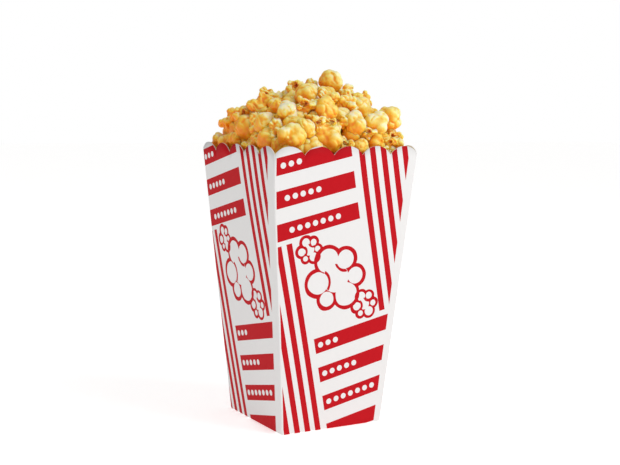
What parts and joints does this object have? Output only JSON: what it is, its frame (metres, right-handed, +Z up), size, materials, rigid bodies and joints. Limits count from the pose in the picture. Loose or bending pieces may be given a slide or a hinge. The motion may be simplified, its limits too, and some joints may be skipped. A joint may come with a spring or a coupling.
{
  "type": "carton of popcorn",
  "caption": "Square tapered paperboard carton with scalloped rims and red and white printed panels, filled and heaped with buttered popcorn",
  "frame": {"origin": "middle of the carton's base, on the surface that it stands on", "axes": "+Z up along the carton, -Y out of the lit front panel, -X out of the panel beside it, +X to the right seen from the front"},
  "size_m": [0.116, 0.116, 0.2569],
  "materials": {
    "paperboard": "satin",
    "popcorn": "matte"
  },
  "bodies": {
    "root": {"carton": "paperboard", "popcorn": "popcorn"}
  },
  "joints": []
}
